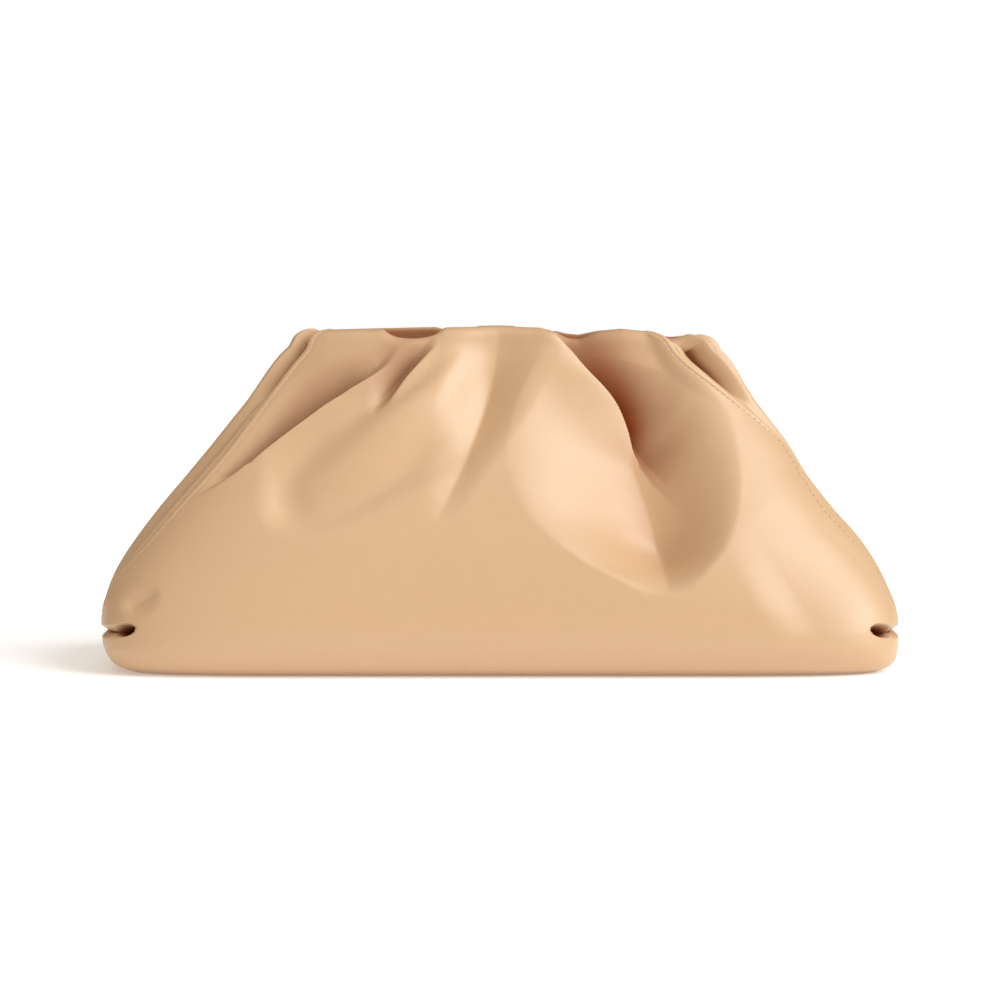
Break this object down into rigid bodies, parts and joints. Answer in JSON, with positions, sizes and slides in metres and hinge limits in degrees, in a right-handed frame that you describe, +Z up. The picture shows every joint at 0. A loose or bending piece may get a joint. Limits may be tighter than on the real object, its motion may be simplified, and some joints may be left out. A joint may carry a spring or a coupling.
{
  "type": "soft pouch clutch bag",
  "caption": "Soft leather pouch bag with a wide flat base, draped folded sides gathered up to two rolled lips over a hidden frame, and a narrow slit mouth on top",
  "frame": {"origin": "on the floor under the middle of the bag, at the base centre of its bounding box", "axes": "+X along the length of the bag and its mouth, to the right seen from the front; -Y out of the front with the deep dent; +Z up"},
  "size_m": [0.3998, 0.1604, 0.1714],
  "materials": {
    "leather": "satin",
    "frame": "satin"
  },
  "bodies": {
    "root": {"main_panel": "leather", "gusset_right": "leather", "gusset_left": "leather", "clasp_frame": "frame"}
  },
  "joints": []
}
